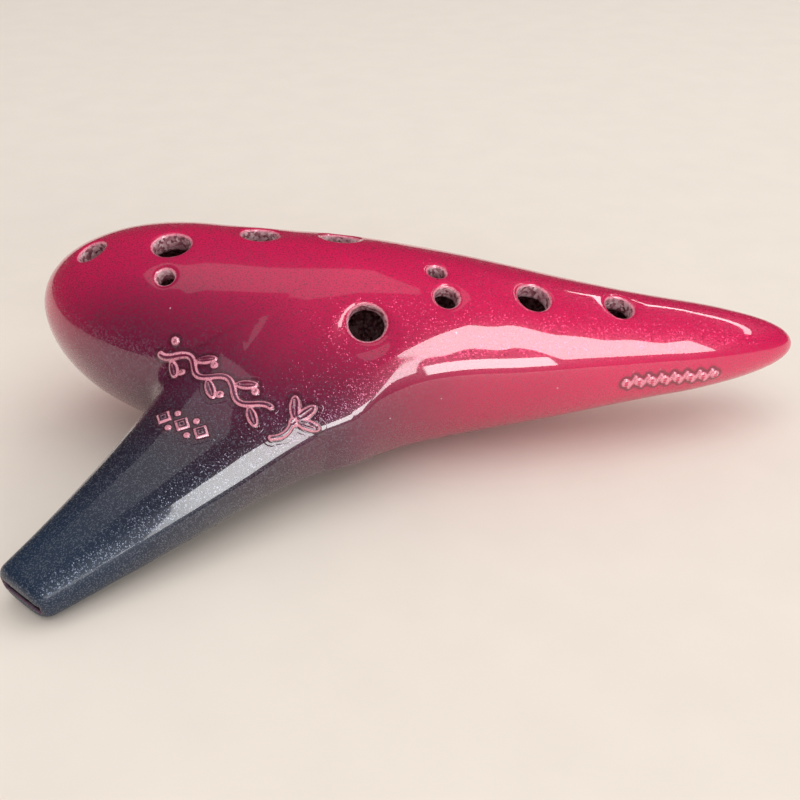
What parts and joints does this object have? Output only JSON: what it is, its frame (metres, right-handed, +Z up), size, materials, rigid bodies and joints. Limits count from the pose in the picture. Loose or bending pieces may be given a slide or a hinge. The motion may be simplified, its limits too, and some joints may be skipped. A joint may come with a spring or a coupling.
{
  "type": "ocarina",
  "caption": "Teardrop transverse ocarina in glazed ceramic: hollow shell with finger and thumb holes, and a side mouthpiece with a flat windway, window and labium.",
  "frame": {"origin": "centre of the bounding box's bottom face, on the surface that the ocarina lies on", "axes": "+X from the round end to the tail, +Y away from the player, +Z up, with the finger holes on top and the mouthpiece towards -Y"},
  "size_m": [0.1778, 0.1007, 0.0471],
  "materials": {
    "crimson_glaze": "gloss lacquer-like glaze with fine pearl",
    "dark_glaze": "satin glaze",
    "bisque": "unglazed, gritty",
    "relief_glaze": "gloss, thin over the raised edges"
  },
  "bodies": {
    "root": {"upper_shell": "crimson_glaze", "lower_shell": "crimson_glaze", "mouthpiece_roof": "dark_glaze", "mouthpiece_floor": "dark_glaze", "labium": "bisque", "vine_relief": "relief_glaze", "sprig_relief": "relief_glaze", "diamond_relief": "relief_glaze", "bead_relief": "relief_glaze"}
  },
  "joints": []
}
